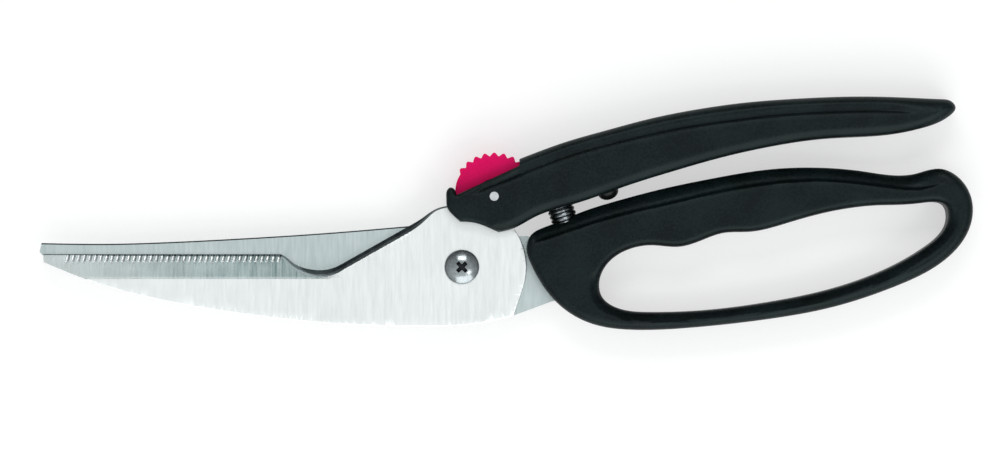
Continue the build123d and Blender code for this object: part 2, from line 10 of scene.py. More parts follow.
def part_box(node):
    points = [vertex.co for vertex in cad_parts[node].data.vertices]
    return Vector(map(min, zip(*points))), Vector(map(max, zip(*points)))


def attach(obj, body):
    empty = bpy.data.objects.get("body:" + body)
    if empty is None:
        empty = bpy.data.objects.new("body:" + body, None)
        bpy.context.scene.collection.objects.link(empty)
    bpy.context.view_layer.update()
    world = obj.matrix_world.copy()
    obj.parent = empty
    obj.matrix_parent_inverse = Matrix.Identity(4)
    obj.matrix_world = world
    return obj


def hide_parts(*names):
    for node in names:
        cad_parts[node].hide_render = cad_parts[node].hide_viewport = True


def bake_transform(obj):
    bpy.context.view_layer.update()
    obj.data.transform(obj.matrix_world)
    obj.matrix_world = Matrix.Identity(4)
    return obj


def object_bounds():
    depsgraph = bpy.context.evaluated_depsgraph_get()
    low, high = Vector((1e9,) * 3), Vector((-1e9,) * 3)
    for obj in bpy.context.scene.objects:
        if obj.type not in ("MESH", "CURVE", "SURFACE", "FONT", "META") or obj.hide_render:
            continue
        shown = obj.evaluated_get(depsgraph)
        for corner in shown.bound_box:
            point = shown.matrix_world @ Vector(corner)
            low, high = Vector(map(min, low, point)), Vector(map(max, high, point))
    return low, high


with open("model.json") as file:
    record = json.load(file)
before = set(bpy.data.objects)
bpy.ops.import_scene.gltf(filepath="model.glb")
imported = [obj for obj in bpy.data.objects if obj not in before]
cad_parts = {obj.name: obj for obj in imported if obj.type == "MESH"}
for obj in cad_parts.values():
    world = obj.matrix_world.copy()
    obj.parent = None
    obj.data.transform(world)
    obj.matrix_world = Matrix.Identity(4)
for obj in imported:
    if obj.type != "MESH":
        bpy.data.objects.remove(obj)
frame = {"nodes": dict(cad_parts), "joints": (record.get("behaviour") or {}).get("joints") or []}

cad_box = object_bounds()

# Every outline below is in millimetres about the pivot, with +X towards the handle ends and +Y towards the
# upper handle. Heights are in millimetres above the table.
MM = 0.001
JOINTS = {j["name"]: j for j in frame["joints"]}
PIVOT = [v / MM for v in JOINTS["pivot"]["pos_m"]]
PIN = [v / MM - p for v, p in zip(JOINTS["lock_turn"]["pos_m"], PIVOT)][:2]
HANDLE_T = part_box("upper_front_shell")[1][2] / MM
MID = HANDLE_T / 2
STEP = 0.5  # spacing of an outline's points


# ---------------------------------------------------------------- outlines
def spline(points, closed=False, start=None, end=None, step=STEP):
    """A smooth curve through points, with an optional direction at either end."""
    p = np.array(points, float)
    if closed:
        p = np.vstack([p, p[:1]])
    t = np.concatenate([[0], np.cumsum(np.linalg.norm(np.diff(p, axis=0), axis=1))])
    h = np.diff(t)
    n = len(p)
    a = np.zeros((n, n))
    b = np.zeros((n, 2))
    slope = np.diff(p, axis=0) / h[:, None]
    for i in range(1, n - 1):
        a[i, i - 1 : i + 2] = h[i - 1], 2 * (h[i - 1] + h[i]), h[i]
        b[i] = 6 * (slope[i] - slope[i - 1])
    a[0, 0] = a[-1, -1] = 1
    if closed:
        a[0, [0, 1, -2, -1]] = 2 * h[0], h[0], h[-1], 2 * h[-1]
        b[0] = 6 * (slope[0] - slope[-1])
        a[-1, 0], a[-1, -1] = 1, -1
    if start is not None:
        a[0, :2] = 2 * h[0], h[0]
        b[0] = 6 * (slope[0] - np.array(start) / np.linalg.norm(start))
    if end is not None:
        a[-1, -2:] = h[-1], 2 * h[-1]
        b[-1] = 6 * (np.array(end) / np.linalg.norm(end) - slope[-1])
    m = np.linalg.solve(a, b)
    count = max(2, int(round(t[-1] / step)))
    at = np.linspace(0, t[-1], count + 1)
    i = np.clip(np.searchsorted(t, at, side="right") - 1, 0, n - 2)
    u, v = (at - t[i])[:, None], (t[i + 1] - at)[:, None]
    hi = h[i][:, None]
    return (
        m[i] * v**3 / (6 * hi) + m[i + 1] * u**3 / (6 * hi)
        + (p[i] / hi - m[i] * hi / 6) * v + (p[i + 1] / hi - m[i + 1] * hi / 6) * u
    )


def straight(*points, step=STEP):
    """Straight runs through points."""
    pieces = []
    for a, b in zip(points, points[1:]):
        a, b = np.array(a, float), np.array(b, float)
        count = max(1, int(round(np.linalg.norm(b - a) / step)))
        pieces.append(a + (b - a) * np.linspace(0, 1, count + 1)[:, None])
    return np.vstack(pieces)


def arc(centre, radius, first, last, step=STEP):
    """A circular arc between two angles in degrees."""
    count = max(2, int(round(abs(math.radians(last - first)) * radius / step)))
    angle = np.radians(np.linspace(first, last, count + 1))
    return np.array(centre) + radius * np.stack([np.cos(angle), np.sin(angle)], axis=1)


def ring_of(*pieces):
    """One closed outline, counter-clockwise, from pieces that follow each other."""
    points = np.vstack(pieces)
    keep = np.linalg.norm(points - np.roll(points, 1, axis=0), axis=1) > 0.02
    points = points[keep]
    x, y = points.T
    area = np.sum(x * np.roll(y, -1) - y * np.roll(x, -1))
    return points if area > 0 else points[::-1]


def distance(points, line, closed=True, signed=False):
    """Distance from points to a line, the index of its nearest stretch, and the side if signed."""
    a = line if closed else line[:-1]
    b = np.roll(line, -1, axis=0) if closed else line[1:]
    ab = b - a
    best = np.full(len(points), np.inf)
    where = np.zeros(len(points), int)
    for start in range(0, len(points), 2000):
        p = points[start : start + 2000, None]
        u = np.clip(((p - a) * ab).sum(-1) / np.maximum((ab**2).sum(-1), 1e-12), 0, 1)
        d = np.linalg.norm(p - a - u[..., None] * ab, axis=-1)
        where[start : start + 2000] = d.argmin(1)
        best[start : start + 2000] = d.min(1)
    if not signed:
        return best, where
    rel = points - a[where]
    side = np.sign(ab[where, 0] * rel[:, 1] - ab[where, 1] * rel[:, 0])
    return best * side, where


def inside(points, outlines):
    """Which points lie inside the first outline and outside the others."""
    found = np.zeros(len(points), bool)
    x, y = points.T
    for outline in outlines:
        x0, y0 = outline.T
        x1, y1 = np.roll(x0, -1), np.roll(y0, -1)
        for start in range(0, len(points), 4000):
            s = slice(start, start + 4000)
            crosses = (y0 > y[s, None]) != (y1 > y[s, None])
            edge_x = x0 + (y[s, None] - y0) * (x1 - x0) / np.where(y1 == y0, 1, y1 - y0)
            found[s] ^= (crosses & (x[s, None] < edge_x)).sum(1) % 2 == 1
    return found


def triangulated(points, outlines):
    """Triangles over points, with every outline's edges kept."""
    edges, base = [], 0
    for outline in outlines:
        n = len(outline)
        edges += [(base + i, base + (i + 1) % n) for i in range(n)]
        base += n
    vertices, _, faces, source, _, _ = geometry.delaunay_2d_cdt(
        [Vector(p) for p in points], edges, [], 0, 1e-6
    )
    out = np.array([tuple(v) for v in vertices])
    new_index = np.zeros(len(points), int)
    for new, olds in enumerate(source):
        new_index[olds] = new
    faces = np.array([f for f in faces if len(f) == 3])
    kept = inside(out[faces].mean(axis=1), outlines)
    return out, faces[kept], new_index


def as_object(name, vertices, faces, materials=(), face_material=None, within=0.0):
    """A mesh object from points in millimetres about the pivot."""
    mesh = bpy.data.meshes.new(name)
    moved = (np.array(vertices, float) + (*PIVOT[:2], 0)) * MM
    moved = np.clip(moved, np.array(cad_box[0]) - within, np.array(cad_box[1]) + within)
    mesh.from_pydata(moved.tolist(), [], [tuple(int(i) for i in f) for f in faces])
    mesh.validate()
    bm = bmesh.new()
    bm.from_mesh(mesh)
    bmesh.ops.recalc_face_normals(bm, faces=bm.faces)
    bm.to_mesh(mesh)
    bm.free()
    mesh.polygons.foreach_set("use_smooth", [True] * len(mesh.polygons))
    mesh.set_sharp_from_angle(angle=math.radians(30))
    for material in materials:
        mesh.materials.append(material)
    if face_material is not None:
        mesh.polygons.foreach_set("material_index", face_material)
    mesh.update()
    obj = bpy.data.objects.new(name, mesh)
    bpy.context.scene.collection.objects.link(obj)
    return obj


def inward_normals(outlines):
    """For each outline, the directions into the plate: inwards from the first, outwards from the holes."""
    found = []
    for outline in outlines:
        tangent = np.roll(outline, -1, axis=0) - np.roll(outline, 1, axis=0)
        normal = np.stack([-tangent[:, 1], tangent[:, 0]], axis=1)
        normal /= np.linalg.norm(normal, axis=1)[:, None]
        found.append(normal if outline is outlines[0] else -normal)
    return found


def plate(name, outlines, top, bottom, insets, seeds=(), grid=1.6, lip=0.0, materials=(), zone=None):
    """A solid between two shaped faces with one outline.
    top and bottom give the heights of points; insets are the distances in from the edge where the faces get
    points; lip rounds the bottom edge, where two halves meet; zone gives each face's material."""
    edge = np.vstack(outlines)
    normals = inward_normals(outlines)
    inner = []
    for outline, normal in zip(outlines, normals):
        for d in insets:
            ring = outline + normal * d
            near = nearest(ring, outlines)
            inner.append(ring[near > 0.96 * d])
    if len(seeds):
        seeds = np.vstack(seeds)
        inner.append(seeds[nearest(seeds, outlines) > 0.12])
    low, high = edge.min(axis=0), edge.max(axis=0)
    xs = np.arange(low[0], high[0], grid)
    ys = np.arange(low[1], high[1], grid * 0.87)
    net = np.array([(x + (j % 2) * grid / 2, y) for j, y in enumerate(ys) for x in xs])
    net = net[inside(net, outlines)]
    net = net[nearest(net, outlines) > insets[-1] + 0.3 * grid]
    inner.append(net)
    inner = np.vstack(inner)
    inner = inner[inside(inner, outlines)]
    _, first = np.unique(np.round(inner / 0.1).astype(int), axis=0, return_index=True)
    inner = inner[np.sort(first)]
    points, faces, index = triangulated(np.vstack([edge, inner]), outlines)
    n = len(points)
    upper = np.column_stack([points, top(points)])
    border = index[: len(edge)]
    vertices, all_faces, kinds = [upper], [faces], []
    kinds.append(zone(points[faces].mean(axis=1)) if zone else np.zeros(len(faces), int))
    if callable(bottom):
        lower = np.column_stack([points, bottom(points)])
        vertices.append(lower)
        all_faces.append(faces[:, ::-1] + n)
        kinds.append(np.zeros(len(faces), int))
        rows = [border, border + n]
    else:
        inward = np.vstack(normals)
        toward = 1 if top(points).mean() > bottom else -1
        wall = np.column_stack([edge, np.full(len(edge), bottom + toward * lip)])
        foot = np.column_stack([edge + inward * lip * 0.6, np.full(len(edge), bottom)])
        vertices += [wall, foot]
        back_loops, base = [], 0
        for outline in outlines:
            back_loops.append(foot[base : base + len(outline), :2])
            base += len(outline)
        _, back, back_index = triangulated(foot[:, :2], back_loops)
        home = np.zeros(len(foot), int)
        home[back_index] = np.arange(len(foot))
        all_faces.append(home[back][:, ::-1] + n + len(edge))
        kinds.append(np.zeros(len(back), int))
        rows = [border, np.arange(len(edge)) + n, np.arange(len(edge)) + n + len(edge)]
    quads = []
    base = 0
    for outline in outlines:
        i = np.arange(len(outline)) + base
        j = np.roll(i, -1)
        for a, b in zip(rows, rows[1:]):
            quads.append(np.column_stack([a[i], b[i], b[j], a[j]]))
        base += len(outline)
    quads = np.vstack(quads)
    kinds.append(np.zeros(len(quads), int))
    faces = [tuple(f) for block in all_faces for f in block] + [tuple(q) for q in quads]
    return as_object(name, np.vstack(vertices), faces, materials, np.concatenate(kinds))


def nearest(points, outlines):
    """Distance from points to the nearest of some outlines."""
    return np.min([distance(points, outline)[0] for outline in outlines], axis=0)


def smoothstep(a, b, x):
    """0 below a, 1 above b and smooth between them."""
    t = np.clip((x - a) / (b - a), 0, 1)
    return t * t * (3 - 2 * t)


def roll(d, across, down):
    """How far a rounded edge has fallen at a distance d from the outline."""
    t = np.clip(1 - d / across, 0, 1)
    return down * (1 - np.sqrt(1 - t**2))


def chamfer(d, width, rate):
    """The fall of a flat slope that begins a width in from the outline."""
    return rate * np.maximum(width - d, 0)


def blended(*falls):
    """The larger of several falls, with a soft change between them."""
    return np.sum([f**4 for f in falls], axis=0) ** 0.25


def circle(centre, radius):
    """A closed round outline."""
    return ring_of(arc(centre, radius, 0, 360, step=0.25)[:-1])


# ---------------------------------------------------------------- handles
RIDGE_OFFSETS = (-1.2, -0.8, -0.45, -0.1, 0.12, 0.3, 0.5, 0.7, 1.0, 1.4, 1.9, 2.5)
CREST_DROP, GROOVE_DEPTH = 0.16, 1.0


def ridge_fall(points, line, band_drop, width, fade):
    """The valley behind a line, which rises to the back band over a width."""
    s, _ = distance(points, line, closed=False, signed=True)
    crest = CREST_DROP * smoothstep(-1.2, -0.1, s)
    down = (GROOVE_DEPTH - CREST_DROP) * smoothstep(-0.1, 0.7, s)
    back = (GROOVE_DEPTH - band_drop) * smoothstep(0.8, 0.8 + width, s)
    return (crest + down - back) * fade(points)


def left_of(line):
    """The directions to the left of an open line."""
    tangent = np.gradient(line, axis=0)
    normal = np.stack([-tangent[:, 1], tangent[:, 0]], axis=1)
    return normal / np.linalg.norm(normal, axis=1)[:, None]


def beside(line, offsets):
    """Lines that run to the left of an open line at some distances."""
    return [line + left_of(line) * offset for offset in offsets]


UPPER_EDGE = spline([
    (9.8, 9.3), (13.2, 10.1), (19.2, 13.2), (30.8, 17.1), (43.5, 21.5), (56.5, 25.6), (69.5, 29.3),
    (82.5, 32.2), (98.0, 34.4), (114.9, 35.5), (124.0, 37.4), (130.6, 40.6), (132.0, 42.6),
    (130.9, 44.3), (128.2, 44.9), (121.4, 45.2), (108.5, 45.6), (89.0, 45.0), (76.0, 44.0),
    (63.0, 42.2), (50.0, 39.6), (38.0, 36.4), (28.2, 33.6), (15.4, 28.9),
])
UPPER_RECESS = straight((15.4, 28.9), (15.4, 27.1), (-1.4, 19.3))
UPPER_BEAK = spline([(-1.4, 19.3), (-2.0, 20.8), (-3.0, 21.3), (-3.9, 20.6), (-4.15, 18.4), (-4.0, 16.2),
                     (-2.4, 13.9), (-0.4, 12.1)])
UPPER_HEEL = spline([(-0.4, 12.1), (2.0, 12.0), (4.9, 11.4), (7.6, 10.3), (9.8, 9.3)])
UPPER_OUTLINE = ring_of(UPPER_EDGE, UPPER_RECESS, UPPER_BEAK, UPPER_HEEL)
UPPER_RIDGE = spline([
    (3.2, 19.0), (8.0, 21.1), (11.2, 22.3), (16.0, 24.3), (23.9, 27.4), (31.7, 30.1), (37.9, 31.8),
    (45.8, 33.8), (53.6, 35.6), (65.4, 37.7), (74.5, 38.9), (82.7, 39.9), (90.9, 40.5), (103.0, 41.0),
    (115.5, 41.0), (125.0, 40.4),
], step=0.6)


UNDER_BEVEL_W, UNDER_BEVEL_RATE = 2.3, 0.5  # the flat slope along the upper handle's palm side


def upper_face(points):
    """Heights of the upper handle's front."""
    d_edge, where = distance(points, UPPER_EDGE, closed=False)
    share_round = np.arange(len(UPPER_EDGE)) / len(UPPER_EDGE)
    high = smoothstep(0.44, 0.54, share_round[where])  # 1 along the back of the handle
    across, down = 1.2 + 3.4 * high, 1.0 + 2.4 * high
    falls = blended(
        roll(d_edge, across, down),
        roll(distance(points, UPPER_HEEL, closed=False)[0], 1.2, 1.0),
        roll(distance(points, UPPER_RECESS, closed=False)[0], 1.1, 0.9),
        roll(distance(points, UPPER_BEAK, closed=False)[0], 1.4, 1.2),
    )
    under = chamfer(d_edge, UNDER_BEVEL_W, UNDER_BEVEL_RATE) * (1 - high)
    fade = lambda p: smoothstep(1.5, 7.0, p[:, 0]) * (1 - smoothstep(112.0, 124.0, p[:, 0]))
    return MID + (MID - falls - under - ridge_fall(points, UPPER_RIDGE, 0.2, 2.4, fade))


LOOP_OUTLINE = ring_of(spline([
    (17.3, 4.6), (18.5, 8.5), (23.0, 11.0), (32.0, 14.7), (41.8, 17.8), (54.0, 21.0), (67.0, 23.7),
    (82.0, 26.1), (95.0, 26.6), (107.4, 25.6), (117.0, 24.5), (122.0, 25.1), (127.5, 26.3), (132.8, 23.9),
    (136.4, 17.3), (135.5, 10.0), (129.9, 2.6), (115.5, -5.3), (99.1, -10.7), (82.0, -13.9), (62.5, -16.1),
    (46.3, -16.8), (34.0, -14.9), (25.8, -9.9), (20.9, -3.8), (18.3, 1.2),
], closed=True))
LOOP_HOLE = ring_of(spline([
    (36.7, -5.0), (37.7, -0.9), (40.2, 2.2), (44.3, 4.6), (51.0, 5.8), (57.8, 5.4), (63.0, 6.7),
    (70.0, 9.1), (76.7, 9.4), (86.8, 11.7), (97.0, 14.5), (111.5, 16.5), (122.0, 17.0), (129.3, 16.2),
    (129.9, 12.8), (123.8, 5.2), (113.5, -0.6), (99.1, -5.8), (82.7, -9.3), (66.0, -11.5), (50.0, -12.1),
    (41.0, -10.7), (37.4, -7.8),
], closed=True))
LOOP_RIDGE = spline([
    (17.8, 5.3), (19.3, 6.0), (27.9, 9.1), (36.1, 11.8), (44.3, 14.1), (56.6, 16.9), (67.0, 19.4),
    (82.5, 22.0), (94.0, 22.8), (105.5, 22.1), (116.0, 20.8), (121.5, 20.5), (127.1, 21.6), (131.7, 22.8),
], step=0.6)


RIM_BEVEL_W, RIM_BEVEL_RATE = 2.7, 0.8  # the flat slope along the finger grips
BAND_RATE, BAND_W = 0.65, 6  # the sloping band between the loop handle's ridge and its back


def loop_face(points):
    """Heights of the loop handle's front."""
    d_outer, where = distance(points, LOOP_OUTLINE)
    x, y = LOOP_OUTLINE[where].T
    top_side = smoothstep(-2.0, 8.0, y - 0.13 * (x - 17.0)) * (1 - smoothstep(124.0, 133.0, x))
    across = 2.6 + 0.6 * top_side
    d_hole, where = distance(points, LOOP_HOLE)
    x, y = LOOP_HOLE[where].T
    rim_side = smoothstep(-3.0, 1.5, 0.17 * (x - 36.0) - 3.5 - y)
    falls = blended(
        roll(d_outer, across, 2.4 - 0.8 * top_side),
        roll(d_hole, 2.0 - 0.8 * rim_side, 2.2 - 1.2 * rim_side),
    )
    s, _ = distance(points, LOOP_RIDGE, closed=False, signed=True)
    band = BAND_RATE * np.maximum(s - 0.4, 0) * smoothstep(17.5, 21.0, points[:, 0]) * (s < BAND_W)
    band = band * (1 - smoothstep(118.0, 130.0, points[:, 0]))
    slopes = chamfer(d_hole, RIM_BEVEL_W, RIM_BEVEL_RATE) * rim_side + band
    fade = lambda p: smoothstep(18.5, 22.0, p[:, 0]) * (1 - smoothstep(122.0, 131.0, p[:, 0]))
    return MID + (MID - falls - slopes - ridge_fall(points, LOOP_RIDGE, 0.8, 1.2, fade))


# ---------------------------------------------------------------- materials
def material(name, colour, roughness, metallic=0.0, **sockets):
    """A new material, its node tree and its shader."""
    mat = bpy.data.materials.new(name)
    mat.use_nodes = True
    shader = mat.node_tree.nodes["Principled BSDF"]
    shader.inputs["Base Color"].default_value = (*colour, 1)
    shader.inputs["Roughness"].default_value = roughness
    shader.inputs["Metallic"].default_value = metallic
    for socket, value in sockets.items():
        shader.inputs[socket.replace("_", " ")].default_value = value
    return mat, mat.node_tree, shader


def node(tree, kind, **values):
    """A new node, with values for its inputs or its settings."""
    made = tree.nodes.new(kind)
    for key, value in values.items():
        if key in made.inputs:
            made.inputs[key].default_value = value
        else:
            setattr(made, key, value)
    return made


def noise(tree, scale, stretch=(1, 1, 1), detail=3.0, rough=0.55):
    """Noise over the object's own coordinates. scale is in cycles a metre, before the stretch."""
    place = node(tree, "ShaderNodeTexCoord")
    mapping = node(tree, "ShaderNodeMapping")
    mapping.inputs["Scale"].default_value = stretch
    texture = node(tree, "ShaderNodeTexNoise", Scale=scale, Detail=detail, Roughness=rough)
    tree.links.new(place.outputs["Object"], mapping.inputs["Vector"])
    tree.links.new(mapping.outputs["Vector"], texture.inputs["Vector"])
    return texture.outputs["Fac"]


def spread(tree, value, low, high, from_low=0.3, from_high=0.7):
    """The value carried from one range over to another."""
    made = node(tree, "ShaderNodeMapRange")
    made.inputs["From Min"].default_value = from_low
    made.inputs["From Max"].default_value = from_high
    made.inputs["To Min"].default_value = low
    made.inputs["To Max"].default_value = high
    tree.links.new(value, made.inputs["Value"])
    return made.outputs["Result"]


def two_colours(tree, value, dark, light, low=0.35, high=0.65):
    """A colour between dark and light, by the value."""
    ramp = node(tree, "ShaderNodeValToRGB")
    ramp.color_ramp.elements[0].position = low
    ramp.color_ramp.elements[0].color = (*dark, 1)
    ramp.color_ramp.elements[1].position = high
    ramp.color_ramp.elements[1].color = (*light, 1)
    tree.links.new(value, ramp.inputs["Fac"])
    return ramp.outputs["Color"]


def bump(tree, shader, value, height, strength=1.0):
    """Gives the shader small bumps, with their height in metres."""
    made = node(tree, "ShaderNodeBump", Strength=strength, Distance=height)
    tree.links.new(value, made.inputs["Height"])
    tree.links.new(made.outputs["Normal"], shader.inputs["Normal"])


def moulded_plastic(name, dark, light, roughness, grain=0.00002, level=0.3):
    """Plastic with a fine moulded grain and a faint mottle."""
    mat, tree, shader = material(name, light, roughness, Specular_IOR_Level=level)
    broad = noise(tree, 90, detail=4)
    fine = noise(tree, 1700, detail=3)
    mottle = node(tree, "ShaderNodeMath", operation="MULTIPLY_ADD")
    tree.links.new(fine, mottle.inputs[0])
    mottle.inputs[1].default_value = 0.7
    tree.links.new(spread(tree, broad, 0.0, 0.3), mottle.inputs[2])
    tree.links.new(two_colours(tree, mottle.outputs[0], dark, light), shader.inputs["Base Color"])
    tree.links.new(spread(tree, fine, roughness - 0.06, roughness + 0.08), shader.inputs["Roughness"])
    bump(tree, shader, fine, grain, 0.8)
    return mat


def brushed_steel(name, dark, light, roughness, stretch, depth=0.000006, contrast=0.6):
    """Steel with fine parallel grind marks, long where stretch is small."""
    mat, tree, shader = material(name, light, roughness, metallic=1.0)
    marks = noise(tree, 1000, stretch, detail=4, rough=0.65)
    broad = noise(tree, 60, detail=3)
    mix = node(tree, "ShaderNodeMath", operation="MULTIPLY_ADD")
    tree.links.new(marks, mix.inputs[0])
    mix.inputs[1].default_value = contrast
    middle = 0.5 - 0.5 * contrast
    scaled = spread(tree, broad, middle - 0.1, middle + 0.1)
    tree.links.new(scaled, mix.inputs[2])
    tree.links.new(two_colours(tree, mix.outputs[0], dark, light, 0.3, 0.7), shader.inputs["Base Color"])
    tree.links.new(spread(tree, marks, roughness - 0.06, roughness + 0.08), shader.inputs["Roughness"])
    bump(tree, shader, marks, depth, 0.7)
    return mat


def lighten(mat, axis, start, end, most):
    """Mixes the colour towards white along an axis, most at start and not at all at end, in metres."""
    tree = mat.node_tree
    shader = tree.nodes["Principled BSDF"]
    place = node(tree, "ShaderNodeTexCoord")
    split = node(tree, "ShaderNodeSeparateXYZ")
    tree.links.new(place.outputs["Object"], split.inputs["Vector"])
    mix = node(tree, "ShaderNodeMix", data_type="RGBA")
    tree.links.new(spread(tree, split.outputs[axis], most, 0.0, start, end), mix.inputs["Factor"])
    tree.links.new(shader.inputs["Base Color"].links[0].from_socket, mix.inputs[6])
    mix.inputs[7].default_value = (0.9, 0.93, 0.92, 1)
    tree.links.new(mix.outputs[2], shader.inputs["Base Color"])


BLACK = moulded_plastic(
    "handle_black", (0.0002, 0.0012, 0.0015), (0.0042, 0.0088, 0.0095), 0.42, 0.00007, 0.19
)
BLACK.node_tree.nodes["Principled BSDF"].inputs["Specular Tint"].default_value = (0.8, 1.0, 1.0, 1)
FRONT_STEEL = brushed_steel(
    "front_blade_steel", (0.84, 0.87, 0.86), (0.92, 0.95, 0.94), 0.36, (1.5, 0.12, 1), 0.000002, 0.25
)
# Painted shade: the ground zone gets a far darker copy of the blade steel, with real grind marks in it
GROUND_SHADE_STEEL = brushed_steel(
    "ground_painted_shade", (0.05, 0.08, 0.08), (0.3, 0.36, 0.36), 0.42, (1.3, 0.02, 0.3), 0.00002, contrast=1.0
)
# Painted light: bands along X and Y ease the ground zone's painted shade towards white, most at its end
# nearest the pivot
lighten(GROUND_SHADE_STEEL, "X", -0.126, -0.075, 0.3)
lighten(GROUND_SHADE_STEEL, "X", -0.0455, -0.0505, 0.8)
lighten(GROUND_SHADE_STEEL, "Y", -0.0178, -0.0168, 0.3)
# Painted light and shade: the serration hollows get a mid grey copy of the blade steel
SCALLOP_SHADE_STEEL = brushed_steel("scallop_painted_shade", (0.4, 0.43, 0.43), (0.55, 0.58, 0.58), 0.35, (1, 1, 1))
REAR_STEEL = brushed_steel("rear_blade_steel", (0.47, 0.55, 0.55), (0.6, 0.67, 0.67), 0.38, (1.5, 0.12, 1))
# Painted shadow: a near black copy of the steel along the cutting edge, the notch bevel's outer share and
# the rear blade's spine bevel
EDGE_SHADOW_STEEL = brushed_steel("edge_painted_shadow", (0.02, 0.03, 0.032), (0.08, 0.1, 0.105), 0.35, (0.6, 0.6, 1))
# Painted shade: a dark copy of the steel on the notch bevel's inner part
BEVEL_SHADE_STEEL = brushed_steel("bevel_painted_shade", (0.08, 0.1, 0.105), (0.19, 0.22, 0.225), 0.35, (0.6, 0.6, 1))
CHROME = brushed_steel("bright_steel", (0.62, 0.66, 0.67), (0.8, 0.83, 0.84), 0.16, (1, 1, 1), 0.000002)
WIRE = brushed_steel("spring_wire", (0.07, 0.08, 0.085), (0.2, 0.22, 0.23), 0.22, (1, 1, 1), 0.000002)
# Painted reflection: the screw's chrome dome is coloured dark grey for the dark surroundings it reflects
SCREW = brushed_steel("screw_painted_reflection", (0.16, 0.19, 0.2), (0.36, 0.39, 0.4), 0.2, (1, 1, 1), 0.000002)
# Painted shade: a near black copy of the steel inside the screw's cross recess
RECESS = brushed_steel("recess_painted_shade", (0.015, 0.018, 0.02), (0.05, 0.055, 0.06), 0.4, (1, 1, 1), 0.000002)
BRASS = brushed_steel("washer_brass", (0.5, 0.36, 0.14), (0.7, 0.54, 0.24), 0.35, (1, 1, 1))
PINK = moulded_plastic("lever_pink", (0.6, 0.0, 0.085), (0.7, 0.001, 0.11), 0.45, 0.00001, 0.1)
SEAT = moulded_plastic("seat_plastic", (0.01, 0.012, 0.012), (0.02, 0.022, 0.022), 0.5)
RUBBER = moulded_plastic("stop_rubber", (0.002, 0.003, 0.003), (0.005, 0.006, 0.006), 0.35, 0.00006, 0.25)

CAD_MATERIALS = {
    "pivot_nut": CHROME, "spring_washer": CHROME, "shim_washer": BRASS, "upper_tang_pins": CHROME,
    "loop_tang_pins": CHROME, "upper_case_screws": CHROME, "loop_case_screws": CHROME, "lock_lever": PINK,
    "lock_pin": CHROME, "detent_ball": CHROME, "detent_spring": WIRE, "upper_spring_seat": SEAT,
    "lower_spring_seat": SEAT,
}
for name, mat in CAD_MATERIALS.items():
    obj = frame["nodes"][name]
    if not obj.material_slots:
        obj.data.materials.append(mat)
    for piece_slot in obj.material_slots:
        piece_slot.link = "OBJECT"
        piece_slot.material = mat


# ---------------------------------------------------------------- the handles' shells
def holes_at(node_name, radius):
    """Outlines of round holes for the separate upright pins or screws of a CAD node."""
    mesh = frame["nodes"][node_name].data
    centres = []
    for v in mesh.vertices:
        p = np.array([v.co.x / MM - PIVOT[0], v.co.y / MM - PIVOT[1]])
        for group in centres:
            if np.linalg.norm(group[0] - p) < 7:
                group.append(p)
                break
        else:
            centres.append([p])
    middles = [(np.min(g, axis=0) + np.max(g, axis=0)) / 2 for g in centres]
    return [circle(c, radius) for c in middles]


def cutter(name, outline, low, high):
    """A plain prism that cuts a hollow."""
    n = len(outline)
    vertices = [(x, y, z) for z in (low, high) for x, y in outline]
    faces = [tuple(range(n))[::-1], tuple(range(n, 2 * n))]
    faces += [(i, (i + 1) % n, n + (i + 1) % n, n + i) for i in range(n)]
    return as_object(name, vertices, faces, within=1.0)


def tube_cutter(name, start, direction, radius, length):
    """A round bar at mid thickness that cuts a pocket."""
    side = np.array([-direction[1], direction[0]])
    vertices, count = [], 40
    for s in (0, length):
        for k in range(count):
            angle = 2 * math.pi * k / count
            x, y = np.array(start) + np.array(direction) * s + side * radius * math.cos(angle)
            vertices.append((x, y, MID + radius * math.sin(angle)))
    faces = [tuple(range(count))[::-1], tuple(range(count, 2 * count))]
    faces += [(i, (i + 1) % count, count + (i + 1) % count, count + i) for i in range(count)]
    return as_object(name, vertices, faces, within=1.0)


def cut(obj, *cutters):
    """Takes cutters away from an object for good."""
    bpy.context.view_layer.objects.active = obj
    for tool in cutters:
        modifier = obj.modifiers.new("cut", "BOOLEAN")
        modifier.operation, modifier.solver, modifier.object = "DIFFERENCE", "EXACT", tool
        bpy.ops.object.modifier_apply(modifier=modifier.name)
    obj.data.polygons.foreach_set("use_smooth", [True] * len(obj.data.polygons))
    obj.data.set_sharp_from_angle(angle=math.radians(30))


def remove(*objects):
    """Deletes objects that only served to cut."""
    for obj in objects:
        bpy.data.objects.remove(obj, do_unlink=True)


def mirrored(face):
    """The same face for the rear half."""
    return lambda points: HANDLE_T - face(points)


EDGE_INSETS = [0.03, 0.1, 0.24, 0.45, 0.72, 1.05, 1.45, 1.9, 2.4, 3.0, 3.7, 4.5]
LEAN = math.radians(20)
SPRING_UP = np.array([-math.sin(LEAN), math.cos(LEAN)])
SPRING_MID = np.array([27.1, 13.8])
SPRING_LOW, SPRING_HIGH = -13.0, 4.4
PIN_HOLE_R, CASE_HEAD_HOLE_R = 1.22, 2.7
POCKET_R, UPPER_POCKET, LOWER_POCKET = 4.15, 5.6, 14.2
SLOT_FIRST, SLOT_LAST = 34, 200.5  # the thumb slot's ends, in degrees about the lock pin
SLOT_HUB_R, SLOT_RIM_R, SLOT_LOW, SLOT_HIGH = 4.35, 12.1, 3.3, 10.7
HEEL_SWEEP_R, HEEL_LOW = 16.2, 4.1  # what the rear blade's back clears as the shears open

